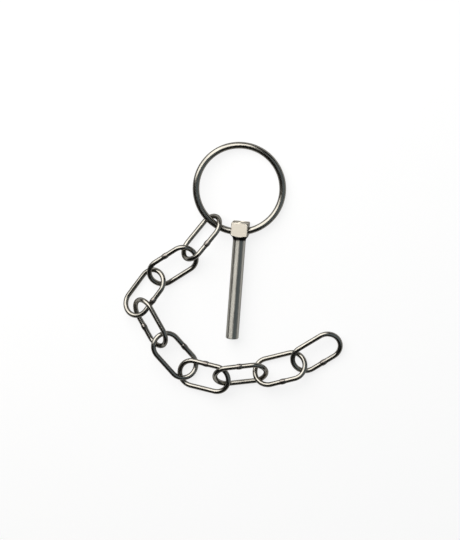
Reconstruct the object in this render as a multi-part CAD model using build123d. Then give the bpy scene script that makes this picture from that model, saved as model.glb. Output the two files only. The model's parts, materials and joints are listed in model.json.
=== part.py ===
from build123d import *

import math
import os

# A solid lock pin with a square cross-drilled head, a round wire pull ring through the
# head and a chain of long welded links hung on the ring. It lies on a table as it came
# to rest. Units are millimetres. +Z is up and +Y runs along the pin, from tip to head.
# The origin is on the pin's axis, where the round shank meets the shoulder of the head.

# Pin: one piece of square bar, turned down to a round shank.
SHANK_DIAMETER = 7.7
SHANK_LENGTH = 60.0
TIP_CHAMFER = 0.5
HEAD_WIDTH = 10.2
HEAD_LENGTH = 11.2
HEAD_EDGE_BREAK = 0.35
SHOULDER_RADIUS = 3.5
RING_HOLE_FROM_END = 5.4
RING_HOLE_MOUTH_BREAK = 0.2

# Pull ring, measured on the centreline of its wire. It banks to one side as it lies on
# the floor, and the slew turns it in the play of the hole, off the line of the pin.
RING_DIAMETER = 52.0
RING_WIRE = 4.0
RING_HOLE_PLAY = 0.85
RING_BANK = 4.0
RING_SLEW = 5.4

# Chain links, measured on the centreline of the wire.
LINK_WIRE = 3.0
LINK_LENGTH = 31.0
LINK_WIDTH = 16.0
WELD_HEIGHT = 0.3
WELD_LENGTH = 3.4
SEAT_CLEARANCE = 0.2

# Where on the ring the first link hangs, in degrees round from +X.
FIRST_LINK_ANGLE = 239.0

# How each link lies, from the ring to the free end: the heading of its length in degrees
# round from +X, the roll that lifts its left side, the pitch that lifts its leading end,
# how far it sits to the left in the eye that holds it, as a share of the link's width,
# and the side of its butt weld, 1 for the left leg and -1 for the right one.
LINK_LIES = [
    (-124.5, 52.0, 5.0, 0.0, 1),
    (-142.5, -20.0, -3.5, 0.175, -1),
    (-122.0, 27.5, 1.0, -0.084, 1),
    (-55.0, 44.5, 5.5, 0.071, -1),
    (-45.0, -15.5, -7.5, -0.064, 1),
    (-6.5, 10.0, 9.0, -0.256, 1),
    (11.0, 45.0, -6.0, 0.115, 1),
    (19.5, -17.5, 0.5, -0.116, -1),
    (36.5, 19.0, -0.5, -0.042, -1),
]

LINK_STRAIGHT = LINK_LENGTH - LINK_WIDTH
RING_HOLE_RADIUS = RING_WIRE / 2 + RING_HOLE_PLAY
RING_HOLE_Y = HEAD_LENGTH - RING_HOLE_FROM_END


def pin_lean():
    """The angle at which the shank's tip and the lower edge of the head both touch."""
    drop = (HEAD_WIDTH - SHANK_DIAMETER) / 2
    return math.degrees(math.atan(drop / (SHANK_LENGTH - TIP_CHAMFER + shoulder_length())))


def shoulder_length():
    """The length of the turned fillet, up to where it reaches the flats of the head."""
    rise = (HEAD_WIDTH - SHANK_DIAMETER) / 2
    return math.sqrt(SHOULDER_RADIUS**2 - (SHOULDER_RADIUS - rise) ** 2)


LEAN = pin_lean()
PIN_PLACE = Rotation(LEAN, 0, 0)
FLOOR_Z = (PIN_PLACE * Pos(0, shoulder_length(), -HEAD_WIDTH / 2)).position.Z
HOLE_CENTRE = (PIN_PLACE * Pos(0, RING_HOLE_Y, 0)).position


def make_pin():
    """A square head cut to a round shank by a turned fillet, with a cross hole."""
    corner = math.hypot(HEAD_WIDTH / 2, HEAD_WIDTH / 2)
    shank = SHANK_DIAMETER / 2
    fillet_top = math.sqrt(SHOULDER_RADIUS**2 - (SHOULDER_RADIUS - corner + shank) ** 2)
    fillet_mid = math.sqrt(SHOULDER_RADIUS**2 - (SHOULDER_RADIUS - (corner - shank) / 2) ** 2)
    outline = (
        Line((0, -SHANK_LENGTH), (shank - TIP_CHAMFER, -SHANK_LENGTH))
        + Line((shank - TIP_CHAMFER, -SHANK_LENGTH), (shank, -SHANK_LENGTH + TIP_CHAMFER))
        + Line((shank, -SHANK_LENGTH + TIP_CHAMFER), (shank, 0))
        + ThreePointArc((shank, 0), ((corner + shank) / 2, fillet_mid), (corner, fillet_top))
        + Line((corner, fillet_top), (corner, HEAD_LENGTH))
        + Line((corner, HEAD_LENGTH), (0, HEAD_LENGTH))
        + Line((0, HEAD_LENGTH), (0, -SHANK_LENGTH))
    )
    turned = revolve(make_face(outline), axis=Axis.Y, revolution_arc=360)
    length = SHANK_LENGTH + HEAD_LENGTH
    bar = Pos(0, HEAD_LENGTH - length / 2, 0) * Box(HEAD_WIDTH, length, HEAD_WIDTH)
    end_edges = bar.faces().sort_by(Axis.Y)[-1].edges()
    bar = chamfer(bar.edges().filter_by(Axis.Y) + end_edges, HEAD_EDGE_BREAK)
    pin = turned & bar
    hole = Pos(0, RING_HOLE_Y, 0) * Rotation(0, 90, 0) * Cylinder(RING_HOLE_RADIUS, HEAD_WIDTH)
    pin = pin - hole
    mouths = pin.edges().filter_by(GeomType.CIRCLE).filter_by(
        lambda edge: math.isclose(edge.radius, RING_HOLE_RADIUS)
    )
    return PIN_PLACE * chamfer(mouths, RING_HOLE_MOUTH_BREAK)


def ring_plane():
    """The ring, slewed in the play of the head's hole and resting on the floor."""
    bank = math.tan(math.radians(RING_BANK))
    low, high = 0.0, 1.0
    for _ in range(30):
        slope = (low + high) / 2
        plane = sloping_ring_plane(bank, slope)
        drop = RING_DIAMETER / 2 * math.hypot(plane.x_dir.Z, plane.y_dir.Z)
        if plane.origin.Z - drop - RING_WIRE / 2 > FLOOR_Z:
            low = slope
        else:
            high = slope
    return sloping_ring_plane(bank, low)


def sloping_ring_plane(bank, slope):
    """A ring through the head's hole whose plane falls by these shares of its run."""
    radius = RING_DIAMETER / 2
    across = Vector(1, 0, -bank).normalized()
    normal = Vector(bank, slope, 1).normalized()
    along = normal.cross(across)
    slew = math.radians(RING_SLEW)
    # The wire bows inside the hole. It sits so that the lowest point of the bow and the
    # side that leaves the hole at the steeper angle have the same play.
    leaving = math.asin(HEAD_WIDTH / 2 / radius + math.sin(slew))
    high = radius * (math.cos(slew) - math.cos(leaving))
    high += RING_WIRE / 2 * (1 / math.cos(leaving) - 1)
    low = radius * (math.cos(slew) - 1)
    hung = radius * math.cos(slew) - (high + low) / 2
    centre = HOLE_CENTRE + along * hung - across * (radius * math.sin(slew))
    return Plane(origin=centre, x_dir=across, z_dir=normal)


def make_ring():
    """A plain round wire ring."""
    return ring_plane() * Torus(RING_DIAMETER / 2, RING_WIRE / 2)


def ring_path():
    """The centreline of the ring's wire."""
    return (ring_plane() * Circle(RING_DIAMETER / 2)).wire()


def flat_link_path():
    """The centreline of a link's wire: two straight legs and two half-round ends."""
    return SlotCenterToCenter(LINK_STRAIGHT, LINK_WIDTH).wire()


def make_flat_link(weld_side):
    """A link about the origin, its length along X, with a butt weld on one leg."""
    path = flat_link_path()
    section = Plane(origin=path @ 0, z_dir=path % 0) * Circle(LINK_WIRE / 2)
    wire = sweep(section, path=path)
    half = WELD_LENGTH / 2
    skin = LINK_WIRE / 2
    bead_outline = (
        Line((-half, 0), (-half, skin))
        + ThreePointArc((-half, skin), (0, skin + WELD_HEIGHT), (half, skin))
        + Line((half, skin), (half, 0))
        + Line((half, 0), (-half, 0))
    )
    bead = revolve(make_face(bead_outline), axis=Axis.X, revolution_arc=360)
    return wire + Pos(0, weld_side * LINK_WIDTH / 2, 0) * bead


def link_axes(heading, roll, pitch):
    """The directions of a link's length, of its width and of its horizontal left."""
    turn, tip, lift = (math.radians(angle) for angle in (heading, roll, pitch))
    length = Vector(
        math.cos(turn) * math.cos(lift), math.sin(turn) * math.cos(lift), math.sin(lift)
    )
    left = Vector(-math.sin(turn), math.cos(turn), 0)
    width = left * math.cos(tip) + length.cross(left) * math.sin(tip)
    return length, width, left


def link_plane(eye, lie, pull):
    """A link on the floor, its near end in the eye that holds it, pulled away from it."""
    heading, roll, pitch, side, _ = lie
    length, width, left = link_axes(heading, roll, pitch)
    forward = Vector(left.Y, -left.X, 0)
    centre = eye + forward * pull + left * side * LINK_WIDTH + length * (LINK_STRAIGHT / 2)
    reach = LINK_STRAIGHT / 2 * abs(length.Z) + LINK_WIDTH / 2 * math.hypot(length.Z, width.Z)
    centre = Vector(centre.X, centre.Y, FLOOR_Z + LINK_WIRE / 2 + reach)
    return Plane(origin=centre, x_dir=length, z_dir=length.cross(width))


def seated_plane(held_by, held_wire, eye, lie):
    """Pull a link along until its wire is the seat's clearance from the wire it hangs on."""
    flat = flat_link_path()
    gap = (held_wire + LINK_WIRE) / 2 + SEAT_CLEARANCE
    near, far = LINK_WIDTH * 3 / 8, LINK_WIDTH - LINK_WIRE
    for _ in range(14):
        pull = (near + far) / 2
        if held_by.distance_to(link_plane(eye, lie, pull) * flat) > gap:
            near = pull
        else:
            far = pull
    return link_plane(eye, lie, near)


def chain_planes():
    """The plane of every link, each one seated in the link or ring before it."""
    ring = ring_plane()
    angle = math.radians(FIRST_LINK_ANGLE)
    inner = RING_DIAMETER / 2 - LINK_WIDTH / 2
    eye = ring.from_local_coords(Vector(inner * math.cos(angle), inner * math.sin(angle), 0))
    held_by, held_wire = ring_path(), RING_WIRE
    planes = []
    for lie in LINK_LIES:
        plane = seated_plane(held_by, held_wire, eye, lie)
        planes.append(plane)
        held_by, held_wire = plane * flat_link_path(), LINK_WIRE
        eye = plane.from_local_coords(Vector(LINK_STRAIGHT / 2, 0, 0))
    return planes


def main():
    os.makedirs("parts", exist_ok=True)
    export_step(make_pin(), "parts/pin.step")
    export_step(make_ring(), "parts/ring.step")
    for number, (plane, lie) in enumerate(zip(chain_planes(), LINK_LIES), start=1):
        link = plane * make_flat_link(lie[-1])
        export_step(link, f"parts/chain_link_{number}.step")


main()
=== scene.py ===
"""A lock pin with a square cross-drilled head, its pull ring and its chain of nine links."""

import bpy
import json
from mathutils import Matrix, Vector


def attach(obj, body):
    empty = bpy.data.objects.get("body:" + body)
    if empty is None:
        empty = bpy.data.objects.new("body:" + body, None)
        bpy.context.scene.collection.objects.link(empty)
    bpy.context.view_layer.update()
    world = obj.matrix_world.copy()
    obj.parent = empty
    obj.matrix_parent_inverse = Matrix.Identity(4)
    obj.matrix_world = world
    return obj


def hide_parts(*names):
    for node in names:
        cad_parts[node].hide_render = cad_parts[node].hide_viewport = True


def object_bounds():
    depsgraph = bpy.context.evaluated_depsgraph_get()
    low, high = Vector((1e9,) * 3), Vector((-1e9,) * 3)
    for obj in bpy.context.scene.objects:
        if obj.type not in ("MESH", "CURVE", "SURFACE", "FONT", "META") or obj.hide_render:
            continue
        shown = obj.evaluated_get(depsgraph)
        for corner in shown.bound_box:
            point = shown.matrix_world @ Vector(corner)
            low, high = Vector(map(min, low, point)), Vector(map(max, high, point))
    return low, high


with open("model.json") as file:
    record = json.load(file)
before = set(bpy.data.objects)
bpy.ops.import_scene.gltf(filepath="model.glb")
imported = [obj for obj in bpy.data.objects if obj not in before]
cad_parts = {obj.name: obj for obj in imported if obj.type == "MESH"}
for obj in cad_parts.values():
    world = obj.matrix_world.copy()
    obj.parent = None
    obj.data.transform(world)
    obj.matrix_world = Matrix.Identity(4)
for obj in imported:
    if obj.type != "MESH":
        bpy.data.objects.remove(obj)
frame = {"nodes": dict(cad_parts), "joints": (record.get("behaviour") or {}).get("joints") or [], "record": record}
CAD_BOX = [list(corner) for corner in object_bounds()]

import json
import math

import bmesh
import bpy
import numpy as np
from bpy.props import FloatProperty, FloatVectorProperty, IntProperty, PointerProperty
from mathutils import Matrix, Vector

bl_info = {
    "name": "Lock Pin with Ring and Chain",
    "version": (1, 0, 0),
    "blender": (4, 5, 0),
    "location": "View3D > Sidebar > Lock Pin",
    "description": "Builds a steel lock pin, its pull ring and its welded chain over their solids",
    "category": "Add Mesh",
}

LINK_NODES = sorted(name for name in frame["nodes"] if name.startswith("chain_link_"))
SHANK_MOUNT = next(m for m in frame["record"]["mounts"] if m["name"] == "shank")
RING_JOINT = next(j for j in frame["joints"] if j["child"] == "ring")

# Points that lie closer than this are one, and edges sharper than this stay crisp.
MERGE_DISTANCE = 1e-7
CRISP_ANGLE = math.radians(35)

# Where along the pin its steel goes over from turned to milled.
MILLED_FROM, MILLED_FULLY = 0.0023, 0.0027

# Points along the ring, and the faces round it beyond those round a link's thinner wire.
RING_POINTS = 241
RING_EXTRA_FACES = 8

# How far the camera leans off the vertical, to +X and to +Y, and the roll of its picture.
CAMERA_LEAN = (math.radians(6.6), math.radians(8.8))
PICTURE_ROLL = math.radians(4.4)

# The middle of the picture, in pixels to the right of the origin and above it.
PICTURE_MIDDLE = (-9.35, -29.5)
PICTURE_HEIGHT = 540

# The floor, the dark dome over it that the camera doesn't see, and the points of both.
FLOOR_RADIUS = 6.0
CANOPY_RADIUS = 0.95
CANOPY_COLOUR = (0.045, 0.045, 0.045)
STAGE_GRID = (24, 96)


def length(name, description, default):
    """A size in metres that the sidebar shows with its unit."""
    return FloatProperty(
        name=name, description=description, default=default, unit="LENGTH", precision=5
    )


def colour(name, description, default):
    """A linear colour that the sidebar shows as a swatch."""
    return FloatVectorProperty(
        name=name, description=description, default=default, subtype="COLOR", min=0, max=1
    )


def share(name, description, default):
    """A plain share from 0 to 1."""
    return FloatProperty(name=name, description=description, default=default, min=0, max=1)


class PinSizes(bpy.types.PropertyGroup):
    """The sizes of the turned and milled pin."""

    shank_diameter: length("Shank diameter", "Across the round shank", 0.0077)
    shank_length: length("Shank length", "From the tip to the shoulder", 0.060)
    tip_chamfer: length("Tip chamfer", "The bevel round the tip", 0.0005)
    head_width: length("Head width", "Across the flats of the square head", 0.0102)
    head_length: length("Head length", "From the shoulder to the end of the head", 0.0112)
    edge_break: length("Edge break", "The bevel along the edges of the head", 0.00035)
    edge_wear: length("Edge wear", "How far the crisp edges are rubbed round", 0.00003)
    shoulder_radius: length("Shoulder radius", "The turned hollow behind the head", 0.0035)
    hole_diameter: length("Hole diameter", "The cross hole for the ring", 0.0057)
    hole_from_end: length("Hole from end", "From the end of the head to the hole", 0.0054)
    mouth_break: length("Mouth break", "The bevel round the mouths of the hole", 0.0002)


class WireSizes(bpy.types.PropertyGroup):
    """The sizes of the ring and of the links, on the centreline of the wire."""

    ring_diameter: length("Ring diameter", "Across the ring", 0.052)
    ring_wire: length("Ring wire", "Thickness of the ring's wire", 0.004)
    link_length: length("Link length", "Along a link", 0.031)
    link_width: length("Link width", "Across a link", 0.016)
    link_wire: length("Link wire", "Thickness of a link's wire", 0.003)
    weld_height: length("Weld height", "How far the weld bead stands out", 0.0003)
    weld_length: length("Weld length", "Along the wire over the weld bead", 0.0034)
    out_of_true: share("Out of true", "How much the wire's thickness wavers", 0.008)
    round_steps: IntProperty(
        name="Steps round", description="Faces round the wire", default=36, min=8, max=96
    )


class SteelLook(bpy.types.PropertyGroup):
    """The colours and the polish of the steel."""

    pin_colour: colour("Shank colour", "The turned steel of the shank", (0.44, 0.43, 0.392))
    milled_colour: colour("Milled colour", "The milled faces of the head", (0.62, 0.58, 0.505))
    ring_colour: colour("Ring colour", "The ring's wire", (0.232, 0.222, 0.197))
    chain_colour: colour("Chain colour", "The links' wire", (0.24, 0.229, 0.204))
    polish: share("Roughness", "How much the steel blurs what it reflects", 0.18)
    turned: share("Turned roughness", "The same along the axis of the shank", 0.42)
    satin: share("Milled roughness", "The same for the milled faces", 0.45)
    scratch_depth: length("Scratch depth", "The depth of the drawing marks", 0.000012)


class StageLook(bpy.types.PropertyGroup):
    """The floor, the light and the camera."""

    floor_colour: colour("Floor colour", "The plain floor", (0.93, 0.93, 0.93))
    floor_white: share("Floor whiteness", "How far the floor looks plain white", 0.82)
    key_radiance: FloatProperty(
        name="Key light", description="Brightness of the large soft light", default=4.5, min=0
    )
    fill_radiance: FloatProperty(
        name="Fill light",
        description="Brightness of the soft light on the right",
        default=0.38,
        min=0,
    )
    pixel: length("Pixel", "What one pixel of the picture covers", 0.0006)
    lens: FloatProperty(name="Lens", description="Focal length", default=200, unit="CAMERA")


def quads(rows, columns):
    """The faces between neighbouring points of a grid whose columns close on themselves."""
    row, column = np.meshgrid(np.arange(rows - 1), np.arange(columns), indexing="ij")
    ahead = (column + 1) % columns
    corners = [row * columns + column, row * columns + ahead]
    corners += [(row + 1) * columns + ahead, (row + 1) * columns + column]
    return np.stack(corners, axis=-1)


def stations(*stretches):
    """Places along a line, evenly spaced on each stretch of start, end and number."""
    places = np.concatenate([np.linspace(*stretch) for stretch in stretches])
    return np.unique(places.round(9))


def steel_piece(name, patches, material):
    """A closed mesh joined from patches of points, faces, places along the metal, and stain and painted shade.

    Points that meet are merged, which closes the seams, and then the faces are turned out.
    """
    points, faces, places, stains_and_shades, start = [], [], [], [], 0
    for patch_points, patch_faces, patch_places, patch_stain_and_shade in patches:
        points.append(patch_points.reshape(-1, 3))
        faces.append(patch_faces.reshape(-1, 4) + start)
        places.append(patch_places.reshape(-1, 3))
        stains_and_shades.append(np.broadcast_to(patch_stain_and_shade, patch_points.shape[:-1]).ravel())
        start += len(points[-1])
    mesh = bpy.data.meshes.new(name)
    mesh.from_pydata(np.concatenate(points), [], np.concatenate(faces).tolist())
    place = mesh.attributes.new("place", "FLOAT_VECTOR", "POINT")
    place.data.foreach_set("vector", np.concatenate(places).astype(np.float32).ravel())
    # This attribute holds weld stain on the links and painted shade in the pin's shoulder hollow.
    stain = mesh.attributes.new("stain", "FLOAT", "POINT")
    stain.data.foreach_set("value", np.concatenate(stains_and_shades).astype(np.float32))
    work = bmesh.new()
    work.from_mesh(mesh)
    bmesh.ops.remove_doubles(work, verts=work.verts, dist=MERGE_DISTANCE)
    bmesh.ops.recalc_face_normals(work, faces=work.faces)
    work.to_mesh(mesh)
    work.free()
    mesh.shade_smooth()
    mesh.set_sharp_from_angle(angle=CRISP_ANGLE)
    mesh.materials.append(material)
    piece = bpy.data.objects.new(name, mesh)
    bpy.context.scene.collection.objects.link(piece)
    return piece


def seat(piece, node, body):
    """Lets a piece stand for its CAD node and move with that node's body."""
    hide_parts(node)
    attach(piece, body)


def solid_axes(node):
    """The middle and the three axes of a CAD node, the longest first.

    The axes are those of the spread of the mesh's area about its centroid. The middle is
    half-way between the outermost corners along each axis.
    """
    mesh = frame["nodes"][node].data
    mesh.calc_loop_triangles()
    corners = np.empty(len(mesh.vertices) * 3)
    mesh.vertices.foreach_get("co", corners)
    corners = corners.reshape(-1, 3)
    triangles = np.empty(len(mesh.loop_triangles) * 3, dtype=np.int32)
    mesh.loop_triangles.foreach_get("vertices", triangles)
    a, b, c = (corners[triangles.reshape(-1, 3)[:, k]] for k in range(3))
    area = np.linalg.norm(np.cross(b - a, c - a), axis=1) / 2
    samples = np.concatenate([(a + b) / 2, (b + c) / 2, (c + a) / 2])
    weight = np.tile(area / area.sum() / 3, 3)
    spread = samples - weight @ samples
    _, axes = np.linalg.eigh((spread * weight[:, None]).T @ spread)
    axes = axes[:, ::-1].T
    axes[2] = np.cross(axes[0], axes[1])
    local = corners @ axes.T
    middle = (local.min(axis=0) + local.max(axis=0)) / 2
    return middle, axes, local - middle


def round_angles(steps):
    """Even angles once round."""
    return np.linspace(0, 2 * np.pi, steps, endpoint=False)


def wire_patch(path, outward, along, angle, thickness, stain):
    """A round section carried along a closed flat path.

    The point at a place on the path and an angle round the wire is the path's point, plus
    half the thickness there times (cos angle x outward + sin angle x the path's normal).
    """
    radius = thickness / 2
    to_side = np.cos(angle)[None, :, None] * outward[:, None, :]
    to_top = np.sin(angle)[None, :, None] * np.array([0.0, 0.0, 1.0])
    points = path[:, None, :] + radius[..., None] * (to_side + to_top)
    around = np.stack([np.cos(angle), np.sin(angle)], axis=-1) * radius.mean()
    rows, columns = len(along), len(angle)
    places = np.concatenate(
        [
            np.broadcast_to(along[:, None, None], (rows, columns, 1)),
            np.broadcast_to(around, (rows, columns, 2)),
        ],
        axis=-1,
    )
    return points, quads(rows, columns), places, stain


def waver(along, angle, reach, seed):
    """A slow wave over a closed wire, from -1 to 1, that differs from piece to piece.

    It is the mean of three sines of whole turns along the wire and round it.
    """
    turn = 2 * np.pi * along[:, None] / reach
    phase = np.random.default_rng(seed).uniform(0, 2 * np.pi, 3)
    waves = [
        np.sin(2 * turn + angle + phase[0]),
        np.sin(5 * turn - angle + phase[1]),
        np.sin(3 * turn + 2 * angle + phase[2]),
    ]
    return sum(waves) / 3


def link_centreline(sizes):
    """The centreline of a link, from its weld once round and back to it.

    A half leg, a half circle, a whole leg, a half circle and a half leg, each worked out
    from the distance along the wire. The steps are closer near the weld.
    """
    half_leg = (sizes.link_length - sizes.link_width) / 2
    bend = sizes.link_width / 2
    ends = np.cumsum([half_leg, np.pi * bend, 2 * half_leg, np.pi * bend, half_leg])
    bead = sizes.weld_length
    along = stations(
        (0, bead, 26),
        (bead, ends[0], 6),
        (ends[0], ends[1], 56),
        (ends[1], ends[2], 14),
        (ends[2], ends[3], 56),
        (ends[3], ends[4] - bead, 6),
        (ends[4] - bead, ends[4], 26),
    )
    leg_one, bend_one = along <= ends[0], along <= ends[1]
    leg_two, bend_two = along <= ends[2], along <= ends[3]
    turn_one = (along - ends[0]) / bend
    turn_two = (along - ends[2]) / bend
    stretches = [leg_one, bend_one, leg_two, bend_two]
    level = 0 * along
    bend_one_x = half_leg + bend * np.sin(turn_one)
    bend_two_x = -half_leg - bend * np.sin(turn_two)
    leg_two_x = half_leg - (along - ends[1])
    x = np.select(stretches, [along, bend_one_x, leg_two_x, bend_two_x], along - ends[4])
    out_x = np.select(stretches, [level, np.sin(turn_one), level, -np.sin(turn_two)], 0)
    out_y = np.select(
        stretches, [level - 1, -np.cos(turn_one), level + 1, np.cos(turn_two)], -1
    )
    path = np.stack([x, bend * out_y, level], axis=-1)
    outward = np.stack([out_x, out_y, level], axis=-1)
    return path, outward, along


def link_thickness(sizes, along, angle, reach, seed):
    """The wire's thickness: the drawn wire, a weld bead over its joint and a little waver.

    The bead is an arch: one less the square of the distance from the weld over half the
    bead, to the power of its fullness. Two waves round the wire make it lumpy, and a narrow
    ridge of flash, a bell curve of that distance, runs round its middle.
    """
    arch_share, fullness = 0.86, 0.7
    flash_share, flash_reach = 0.1, 0.00035
    from_weld = np.minimum(along, reach - along)[:, None]
    inside = np.clip(1 - (from_weld / (sizes.weld_length / 2)) ** 2, 0, 1)
    lumps = 0.12 * np.sin(3 * angle + seed) + 0.08 * np.sin(5 * angle + 2 * seed)
    arch = arch_share * inside**fullness * (1 + lumps)
    flash = flash_share * np.exp(-((from_weld / flash_reach) ** 2))
    bead = 2 * sizes.weld_height * (arch + flash)
    slack = sizes.link_wire * sizes.out_of_true * waver(along, angle, reach, seed)
    return sizes.link_wire - np.abs(slack) + bead


def pin_surface(sizes, y, side_x, side_z):
    """A point of the pin, from its place along the axis and a direction round a square.

    The distance from the axis is the least of the turned outline, the flats and the bevels
    between them, less the wear times the log of a sum: e to the power of minus each one's
    excess over the least, counted in wears. That rubs the edges round.
    """
    out_of_reach = 1.0
    bevel_pull = 1.4
    half = sizes.head_width / 2
    shank = sizes.shank_diameter / 2
    hollow = sizes.shoulder_radius
    away = np.hypot(side_x, side_z)
    cos, sin = side_x / away, side_z / away
    end = np.clip(y - (sizes.head_length - sizes.edge_break), 0, None)
    flats = (half - end) / np.maximum(np.abs(cos), np.abs(sin))
    bevels = (2 * half - sizes.edge_break - bevel_pull * end) / (np.abs(cos) + np.abs(sin))
    rise = hollow - np.sqrt(np.clip(hollow**2 - np.clip(y, 0, None) ** 2, 0, None))
    rise = np.where(y < 0.999 * hollow, rise, out_of_reach)
    tip = np.clip(sizes.tip_chamfer - (y + sizes.shank_length), 0, None)
    turned = shank + rise - tip
    least = np.minimum(np.minimum(flats, bevels), turned)
    soft = sizes.edge_wear
    total = sum(np.exp(-(way - least) / soft) for way in (flats, bevels, turned))
    radius = least - soft * np.log(total)
    return np.stack([radius * cos, y + 0 * radius, radius * sin], axis=-1)


def painted_hollow_shade(sizes, points):
    """How far a point lies in the turned hollow of the shoulder, from 0 to 1: the share of painted shade there.

    There its distance from the axis is the shank's radius plus the rise of the hollow. The
    share grows in a smooth step over the first third of the hollow.
    """
    hollow = sizes.shoulder_radius
    y = points[..., 1]
    rise = hollow - np.sqrt(np.clip(hollow**2 - np.clip(y, 0, hollow) ** 2, 0, None))
    away = np.hypot(points[..., 0], points[..., 2])
    near = np.abs(away - sizes.shank_diameter / 2 - rise) < 2 * sizes.edge_wear
    step = np.clip(0.1 + 3 * y / hollow, 0, 1)
    return np.where(near, step * step * (3 - 2 * step), 0.0)


def pin_patches(sizes):
    """The pin in its own axes: the outside, two ends, two hole mouths and the bore."""
    half = sizes.head_width / 2
    hole_y = sizes.head_length - sizes.hole_from_end
    mouth = sizes.hole_diameter / 2 + sizes.mouth_break
    mouth_margin = 0.00012
    block = mouth + mouth_margin
    bevelled = 1.2 * sizes.edge_break
    past_hollow = 0.0038
    corner = 1 - bevelled / half
    edge = block / half
    side = stations(
        (-1, -corner, 8), (-corner, -edge, 9), (-edge, edge, 41), (edge, corner, 9), (corner, 1, 8)
    )
    open_side = side[:-1]
    side_x = np.concatenate([0 * open_side + 1, -open_side, 0 * open_side - 1, open_side])
    side_z = np.concatenate([open_side, 0 * open_side + 1, -open_side, 0 * open_side - 1])
    low, high = hole_y - block, hole_y + block
    tip = -sizes.shank_length
    past_tip = 2 * sizes.tip_chamfer + tip
    rows = stations(
        (tip, past_tip, 15),
        (past_tip, 0, 70),
        (0, low, 34),
        (low, past_hollow, 22),
        (past_hollow, high, 30),
        (high, sizes.head_length - bevelled, 10),
        (sizes.head_length - bevelled, sizes.head_length, 12),
    )
    grid = pin_surface(sizes, rows[:, None], side_x[None, :], side_z[None, :])
    faces = quads(len(rows), len(side_x))
    middle_y = (rows[:-1] + rows[1:]) / 2
    middle_x = (side_x + np.roll(side_x, -1)) / 2
    middle_z = (side_z + np.roll(side_z, -1)) / 2
    in_rows = (middle_y > low) & (middle_y < high)
    on_flat = np.abs(middle_x) > 0.9999
    in_columns = on_flat & (np.abs(middle_z) < edge)
    faces = faces[~(in_rows[:, None] & in_columns[None, :])]
    patches = [(grid, faces)]
    cap_rows, mouth_rows = 8, 7
    for row in (0, -1):
        inwards = np.linspace(1, 0, cap_rows)[:, None, None] * np.array([1.0, 0.0, 1.0])
        cap = grid[row][None] * inwards + np.array([0.0, rows[row], 0.0])
        patches.append((cap, quads(cap_rows, len(side_x))))
    rounding = 1e-9
    block_y = rows[(rows >= low - rounding) & (rows <= high + rounding)]
    block_z = side[(side >= -edge - rounding) & (side <= edge + rounding)]
    rim_y = np.concatenate(
        [0 * block_z[:-1] + low, block_y[:-1], 0 * block_z[:-1] + high, block_y[:0:-1]]
    )
    rim_z = np.concatenate(
        [block_z[:-1], 0 * block_y[:-1] + edge, -block_z[:-1], 0 * block_y[:-1] - edge]
    )
    rim_y = np.where(np.isclose(rim_y, low), block_y[0], rim_y)
    rim_y = np.where(np.isclose(rim_y, high), block_y[-1], rim_y)
    turn = np.arctan2(rim_z * half, rim_y - hole_y)
    circle_y, circle_z = hole_y + mouth * np.cos(turn), mouth * np.sin(turn) / half
    out = np.linspace(0, 1, mouth_rows)[:, None]
    patch_y, patch_z = circle_y + (rim_y - circle_y) * out, circle_z + (rim_z - circle_z) * out
    mouth_faces = quads(mouth_rows, len(turn))
    for way in (1, -1):
        patches.append((pin_surface(sizes, patch_y, way + 0 * patch_z, patch_z), mouth_faces))
    bore = sizes.hole_diameter / 2
    depth = half - sizes.mouth_break
    worn = sizes.edge_wear
    inner = np.linspace(depth, -depth, 7)[1:-1]
    near = [half, depth + worn, depth - worn]
    far = [-place for place in reversed(near)]
    across = np.array([*near, *inner, *far])
    wide = np.array([mouth, bore + worn, bore, *(bore + 0 * inner), bore, bore + worn, mouth])
    tunnel = np.stack(
        [
            across[:, None] + 0 * turn,
            hole_y + wide[:, None] * np.cos(turn),
            wide[:, None] * np.sin(turn),
        ],
        axis=-1,
    )
    mouths = pin_surface(sizes, circle_y, 1 + 0 * circle_z, circle_z)
    tunnel[0] = mouths
    tunnel[-1] = mouths * np.array([-1.0, 1.0, 1.0])
    patches.append((tunnel, quads(len(across), len(turn))))
    return patches


def node(tree, kind, inputs=(), **settings):
    """A shader node with its settings, and its inputs set or linked by name."""
    made = tree.nodes.new(kind)
    for name, value in settings.items():
        setattr(made, name, value)
    for name, value in dict(inputs).items():
        if isinstance(value, bpy.types.NodeSocket):
            tree.links.new(value, made.inputs[name])
        else:
            made.inputs[name].default_value = value
    return made


def noise(tree, vector, scale, detail, roughness=0.5):
    """Noise over a vector, stretched by a scale for each axis."""
    stretched = node(tree, "ShaderNodeMapping", {"Vector": vector, "Scale": scale})
    return node(
        tree,
        "ShaderNodeTexNoise",
        {
            "Vector": stretched.outputs["Vector"],
            "Scale": 1.0,
            "Detail": detail,
            "Roughness": roughness,
        },
    ).outputs["Fac"]


def between(tree, value, low, high, least=0.0, most=1.0):
    """A value carried from one range to another and held inside it."""
    inputs = {"Value": value, "From Min": low, "From Max": high, "To Min": least, "To Max": most}
    return node(tree, "ShaderNodeMapRange", inputs).outputs["Result"]


def blended(tree, weight, first, second):
    """Two colours mixed by a weight."""
    mix = node(tree, "ShaderNodeMix", {0: weight}, data_type="RGBA")
    for socket, tone in ((mix.inputs[6], first), (mix.inputs[7], second)):
        if isinstance(tone, bpy.types.NodeSocket):
            tree.links.new(tone, socket)
        else:
            socket.default_value = (*tone, 1)
    return mix.outputs[2]


def toned(base, factor):
    """A colour made lighter or darker."""
    return [channel * factor for channel in base]


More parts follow.
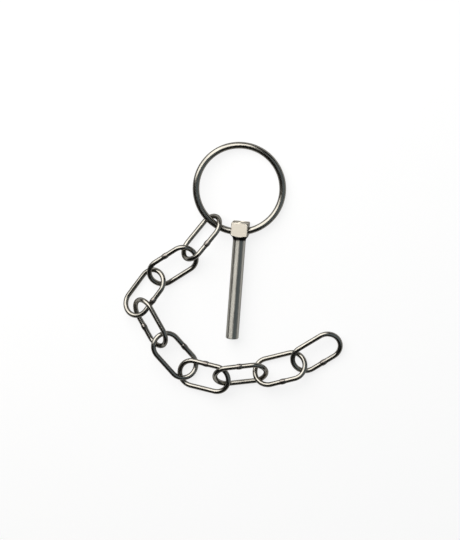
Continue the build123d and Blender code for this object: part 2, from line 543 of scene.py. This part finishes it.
def drawn_steel(name, base, look, polish, mark_scale, cloud_scale):
    """Steel with drawing marks along the metal, a cloudy polish, small pits, weld stain and painted shade.

    The marks are noise stretched along the first axis of the place attribute, which runs
    along the wire or the shank. The clouds are softer noise of the same kind, and the pits
    are the peaks of an even, fine noise. The clouds shift the colour and the roughness a
    little and the pits are dark. The stain and shade attribute tints and dulls the metal:
    about a weld that is stain, and in the hollow of the pin's shoulder it is painted shade.
    """
    material = bpy.data.materials.new(name)
    material.use_nodes = True
    tree = material.node_tree
    shader = tree.nodes["Principled BSDF"]
    place = node(tree, "ShaderNodeAttribute", attribute_name="place").outputs["Vector"]
    stain = node(tree, "ShaderNodeAttribute", attribute_name="stain").outputs["Fac"]
    marks = noise(tree, place, mark_scale, detail=4.0, roughness=0.6)
    clouds = noise(tree, place, cloud_scale, detail=3.0)
    grain = noise(tree, place, (2600, 2600, 2600), detail=5.0)
    pits = between(tree, grain, low=0.64, high=0.74)
    metal = blended(
        tree, between(tree, clouds, 0.34, 0.66), toned(base, 0.84), toned(base, 1.1)
    )
    metal = blended(tree, pits, metal, toned(base, 0.4))
    # About a weld this darker tone is stain; in the pin's shoulder hollow it is painted shade.
    stain_and_shade_tint = (base[0] * 0.62, base[1] * 0.58, base[2] * 0.6)
    metal = blended(tree, stain, metal, stain_and_shade_tint)
    tree.links.new(metal, shader.inputs["Base Color"])
    haze = between(tree, clouds, 0.3, 0.7, polish * 0.88, polish * 1.16)
    scuff = node(
        tree, "ShaderNodeMath", {0: stain, 1: 0.12, 2: haze}, operation="MULTIPLY_ADD"
    ).outputs[0]
    tree.links.new(scuff, shader.inputs["Roughness"])
    relief = node(tree, "ShaderNodeMath", {0: marks, 1: pits}, operation="SUBTRACT").outputs[0]
    bump = node(
        tree,
        "ShaderNodeBump",
        {"Height": relief, "Strength": 0.5, "Distance": look.scratch_depth},
    )
    tree.links.new(bump.outputs["Normal"], shader.inputs["Normal"])
    shader.inputs["Metallic"].default_value = 1.0
    shader.inputs["Specular Tint"].default_value = (0.25, 0.25, 0.25, 1)
    return material


def machined_steel(name, look):
    """Drawn steel, turned on the shank and milled on the head.

    Where the place attribute passes the shoulder, the steel is paler and more satin, and
    its marks run across. The hollow of the shoulder, which the attribute of stain and shade
    marks on the pin, is painted almost black as shade. The turning marks blur what the shank
    reflects along its axis.
    """
    material = drawn_steel(
        name,
        look.pin_colour,
        look,
        look.turned,
        mark_scale=(22, 2600, 2600),
        cloud_scale=(45, 420, 420),
    )
    tree = material.node_tree
    shader = tree.nodes["Principled BSDF"]
    place = node(tree, "ShaderNodeAttribute", attribute_name="place").outputs["Vector"]
    along = node(tree, "ShaderNodeSeparateXYZ", {"Vector": place}).outputs["X"]
    hollow = node(tree, "ShaderNodeAttribute", attribute_name="stain").outputs["Fac"]
    past_shoulder = between(tree, along, MILLED_FROM, MILLED_FULLY)
    milled = node(
        tree,
        "ShaderNodeMath",
        {0: past_shoulder, 1: hollow},
        operation="SUBTRACT",
        use_clamp=True,
    ).outputs[0]
    cutter_marks = noise(tree, place, (3400, 60, 60), detail=4.0, roughness=0.6)
    paler = blended(
        tree, cutter_marks, toned(look.milled_colour, 0.86), toned(look.milled_colour, 1.08)
    )
    turned = shader.inputs["Base Color"].links[0].from_socket
    # Painted shade: the hollow of the shoulder is darkened almost to black.
    turned_with_painted_shade = blended(tree, hollow, turned, toned(look.pin_colour, 0.04))
    tree.links.new(blended(tree, milled, turned_with_painted_shade, paler), shader.inputs["Base Color"])
    haze = shader.inputs["Roughness"].links[0].from_socket
    satin = node(
        tree, "ShaderNodeMix", {0: milled, 2: haze, 3: look.satin}, data_type="FLOAT"
    ).outputs[0]
    tree.links.new(satin, shader.inputs["Roughness"])
    shader.inputs["Anisotropic"].default_value = 1.0
    shader.inputs["Anisotropic Rotation"].default_value = 0.25
    around = node(tree, "ShaderNodeTangent", direction_type="RADIAL", axis="Y")
    tree.links.new(around.outputs["Tangent"], shader.inputs["Tangent"])
    return material


class LOCKPIN_OT_pin(bpy.types.Operator):
    """Make the turned and milled pin with its cross hole"""

    bl_idname = "lockpin.pin"
    bl_label = "Pin"

    def execute(self, context):
        sizes, look = context.scene.lockpin_pin, context.scene.lockpin_steel
        back = -np.array(SHANK_MOUNT["axis"])
        axes = np.stack([(1.0, 0.0, 0.0), back, np.cross((1.0, 0.0, 0.0), back)])
        base = np.array(SHANK_MOUNT["pos_m"])
        patches = [
            # The last entry is the share of painted shade in the shoulder's hollow.
            (points @ axes + base, faces, points[..., [1, 0, 2]], painted_hollow_shade(sizes, points))
            for points, faces in pin_patches(sizes)
        ]
        steel = machined_steel("turned_steel", look)
        piece = steel_piece("pin_turned", patches, steel)
        seat(piece, "pin", "pin")
        return {"FINISHED"}


class LOCKPIN_OT_ring(bpy.types.Operator):
    """Make the pull ring of plain round wire"""

    bl_idname = "lockpin.ring"
    bl_label = "Pull ring"

    def execute(self, context):
        sizes, look = context.scene.lockpin_wire, context.scene.lockpin_steel
        middle, axes, _ = solid_axes("ring")
        hole = axes @ np.array(RING_JOINT["pos_m"]) - middle
        turn = np.linspace(0, 2 * np.pi, RING_POINTS) + math.atan2(hole[1], hole[0])
        outward = np.stack([np.cos(turn), np.sin(turn), 0 * turn], axis=-1)
        radius = sizes.ring_diameter / 2
        along = (turn - turn[0]) * radius
        angle = round_angles(sizes.round_steps + RING_EXTRA_FACES)
        slack = waver(along, angle, along[-1], seed=3) * sizes.out_of_true
        thickness = sizes.ring_wire * (1 - np.abs(slack))
        points, *rest = wire_patch(
            outward * radius, outward, along, angle, thickness, stain=0.0
        )
        steel = drawn_steel(
            "ring_steel",
            look.ring_colour,
            look,
            look.polish,
            mark_scale=(60, 4200, 4200),
            cloud_scale=(120, 420, 420),
        )
        patch = ((points + middle) @ axes, *rest)
        seat(steel_piece("pull_ring", [patch], steel), "ring", "ring")
        return {"FINISHED"}


class LOCKPIN_OT_chain(bpy.types.Operator):
    """Make the nine welded links where they lie"""

    bl_idname = "lockpin.chain"
    bl_label = "Chain"

    def execute(self, context):
        sizes, look = context.scene.lockpin_wire, context.scene.lockpin_steel
        path, outward, along = link_centreline(sizes)
        reach = along[-1]
        angle = round_angles(sizes.round_steps)
        from_weld = np.minimum(along, reach - along)[:, None]
        stain_depth, stain_reach = 0.75, 0.0022
        stain = stain_depth * np.exp(-((from_weld / stain_reach) ** 2)) + 0 * angle
        pattern_shift = 0.11
        steel = drawn_steel(
            "link_steel",
            look.chain_colour,
            look,
            look.polish,
            mark_scale=(80, 4800, 4800),
            cloud_scale=(160, 460, 460),
        )
        for number, name in enumerate(LINK_NODES, start=1):
            middle, axes, local = solid_axes(name)
            by_weld = np.abs(local[:, 0]) < sizes.weld_length
            bends = local[~by_weld][:, 1]
            middle[1] += (bends.min() + bends.max()) / 2
            side = -1.0 if local[by_weld][:, 1].mean() > 0 else 1.0
            thickness = link_thickness(sizes, along, angle, reach, number)
            points, faces, places, _ = wire_patch(
                path, outward, along, angle, thickness, stain
            )
            points = points * np.array([1.0, side, 1.0])
            places = places + np.array([number * pattern_shift, 0.0, 0.0])
            patch = ((points + middle) @ axes, faces, places, stain)
            piece = steel_piece(f"welded_link_{number}", [patch], steel)
            seat(piece, name, name.replace("chain_", ""))
        return {"FINISHED"}


def disc(radius, rows, columns, height):
    """A round sheet: rings of growing radius about the middle, at one height."""
    out = radius * np.linspace(0, 1, rows)[:, None] ** 2
    turn = round_angles(columns)
    return np.stack([out * np.cos(turn), out * np.sin(turn), height + 0 * out * turn], axis=-1)


def dome(radius, rows, columns, height):
    """Half a ball over the floor: rings that rise by even angles to the top."""
    rise = np.linspace(0, np.pi / 2, rows)[:, None]
    turn = round_angles(columns)
    ring = radius * np.cos(rise)
    level = height + radius * np.sin(rise) + 0 * turn
    return np.stack([ring * np.cos(turn), ring * np.sin(turn), level], axis=-1)


def stage_sheet(name, points, base):
    """A plain matt sheet of the stage."""
    mesh = bpy.data.meshes.new(name)
    rows, columns = points.shape[:2]
    mesh.from_pydata(points.reshape(-1, 3), [], quads(rows, columns).reshape(-1, 4).tolist())
    mesh.shade_smooth()
    material = bpy.data.materials.new(name)
    material.use_nodes = True
    shader = material.node_tree.nodes["Principled BSDF"]
    shader.inputs["Base Color"].default_value = (*base, 1)
    shader.inputs["Roughness"].default_value = 1.0
    shader.inputs["Specular IOR Level"].default_value = 0.0
    mesh.materials.append(material)
    sheet = bpy.data.objects.new(name, mesh)
    bpy.context.scene.collection.objects.link(sheet)
    return sheet


def whiten(sheet, white_share):
    """Shows a lit sheet partly as plain white, to the camera and in metal and glass.

    The white takes this share of what is seen and the sheet's own lit shade the rest, so
    the shadows on it stay.
    """
    tree = sheet.data.materials[0].node_tree
    rays = node(tree, "ShaderNodeLightPath").outputs
    seen = node(
        tree,
        "ShaderNodeMath",
        {0: rays["Is Camera Ray"], 1: rays["Is Glossy Ray"]},
        operation="ADD",
    ).outputs[0]
    seen = node(
        tree, "ShaderNodeMath", {0: seen, 1: rays["Is Transmission Ray"]}, operation="ADD"
    ).outputs[0]
    white_part = node(
        tree, "ShaderNodeMath", {0: seen, 1: white_share}, operation="MULTIPLY"
    ).outputs[0]
    white = node(tree, "ShaderNodeEmission", {"Strength": 1.0}).outputs[0]
    lit = tree.nodes["Principled BSDF"].outputs[0]
    shown = node(tree, "ShaderNodeMixShader", {0: white_part, 1: lit, 2: white}).outputs[0]
    tree.links.new(shown, tree.nodes["Material Output"].inputs["Surface"])


def soft_light(name, lean, distance, size, radiance, tint):
    """A soft box that faces the origin and glows evenly.

    It stands where the slopes to +X and +Y are the tangents of its two lean angles, in
    degrees off the vertical. Its power is its radiance times pi times its area.
    """
    towards = [math.tan(math.radians(angle)) for angle in lean] + [1.0]
    light = bpy.data.lights.new(name, "AREA")
    light.shape = "RECTANGLE"
    light.size, light.size_y = size
    light.energy = radiance * math.pi * size[0] * size[1]
    light.color = tint
    lamp = bpy.data.objects.new(name, light)
    back = Vector(towards).normalized()
    across = Vector((0, 1, 0)).cross(back).normalized()
    up = back.cross(across)
    turned = Matrix((across, up, back)).transposed()
    lamp.matrix_world = Matrix.Translation(back * distance) @ turned.to_4x4()
    lamp.visible_camera = False
    bpy.context.scene.collection.objects.link(lamp)


def picture_camera(look):
    """The camera above the object.

    The way back to it has the sines of its lean to +X and +Y. The picture's up is +Y
    without its part along that way, rolled, and the distance lets one pixel cover the
    given length.
    """
    back = Vector((math.sin(CAMERA_LEAN[0]), math.sin(CAMERA_LEAN[1]), 0))
    back.z = math.sqrt(1 - back.length_squared)
    level = Vector((0, 1, 0)) - back * back.y
    level.normalize()
    aside = level.cross(back)
    right = aside * math.cos(PICTURE_ROLL) + level * math.sin(PICTURE_ROLL)
    up = level * math.cos(PICTURE_ROLL) - aside * math.sin(PICTURE_ROLL)
    target = right * (PICTURE_MIDDLE[0] * look.pixel) + up * (PICTURE_MIDDLE[1] * look.pixel)
    camera = bpy.data.cameras.new("camera")
    camera.lens = look.lens
    camera.clip_end = 50
    reach = PICTURE_HEIGHT * look.pixel / camera.sensor_width * look.lens
    view = bpy.data.objects.new("camera", camera)
    turned = Matrix((right, up, back)).transposed().to_4x4()
    view.matrix_world = Matrix.Translation(target + back * reach) @ turned
    bpy.context.scene.collection.objects.link(view)
    return view


class LOCKPIN_OT_stage(bpy.types.Operator):
    """Set out the floor, the soft lights and the camera"""

    bl_idname = "lockpin.stage"
    bl_label = "Stage"

    def execute(self, context):
        scene = context.scene
        look = scene.lockpin_stage
        ground = CAD_BOX[0][2]
        floor = stage_sheet("floor", disc(FLOOR_RADIUS, *STAGE_GRID, ground), look.floor_colour)
        whiten(floor, look.floor_white)
        canopy = stage_sheet(
            "dark_canopy", dome(CANOPY_RADIUS, *STAGE_GRID, ground), CANOPY_COLOUR
        )
        canopy.visible_camera = False
        soft_light(
            "key_light",
            lean=(-31, 39),
            distance=0.7,
            size=(0.92, 0.78),
            radiance=look.key_radiance,
            tint=(1.0, 0.985, 0.96),
        )
        soft_light(
            "fill_light",
            lean=(44, 0),
            distance=0.75,
            size=(1.0, 1.0),
            radiance=look.fill_radiance,
            tint=(0.74, 0.9, 1.0),
        )
        world = bpy.data.worlds.new("pale_room")
        world.use_nodes = True
        sky = world.node_tree.nodes["Background"]
        sky.inputs["Color"].default_value = (1, 1, 1, 1)
        sky.inputs["Strength"].default_value = 1.0
        scene.world = world
        scene.camera = picture_camera(look)
        scene.view_settings.view_transform = "Standard"
        return {"FINISHED"}


class LOCKPIN_PT_panel(bpy.types.Panel):
    """The pieces of the lock pin and their sizes"""

    bl_idname = "LOCKPIN_PT_panel"
    bl_label = "Lock Pin"
    bl_space_type = "VIEW_3D"
    bl_region_type = "UI"
    bl_category = "Lock Pin"

    def draw(self, context):
        for group, operators in PANEL_ROWS:
            box = self.layout.box()
            settings = getattr(context.scene, group)
            for name in settings.__annotations__:
                box.prop(settings, name)
            for operator in operators:
                box.operator(operator)


PANEL_ROWS = (
    ("lockpin_pin", ("lockpin.pin",)),
    ("lockpin_wire", ("lockpin.ring", "lockpin.chain")),
    ("lockpin_steel", ()),
    ("lockpin_stage", ("lockpin.stage",)),
)
GROUPS = {
    "lockpin_pin": PinSizes,
    "lockpin_wire": WireSizes,
    "lockpin_steel": SteelLook,
    "lockpin_stage": StageLook,
}
CLASSES = (
    *GROUPS.values(),
    LOCKPIN_OT_pin,
    LOCKPIN_OT_ring,
    LOCKPIN_OT_chain,
    LOCKPIN_OT_stage,
    LOCKPIN_PT_panel,
)


def register():
    for made in CLASSES:
        bpy.utils.register_class(made)
    for name, group in GROUPS.items():
        setattr(bpy.types.Scene, name, PointerProperty(type=group))


def unregister():
    for name in GROUPS:
        delattr(bpy.types.Scene, name)
    for made in reversed(CLASSES):
        bpy.utils.unregister_class(made)


def main():
    register()
    bpy.ops.lockpin.stage()
    bpy.ops.lockpin.pin()
    bpy.ops.lockpin.ring()
    bpy.ops.lockpin.chain()


if __name__ == "__main__":
    main()
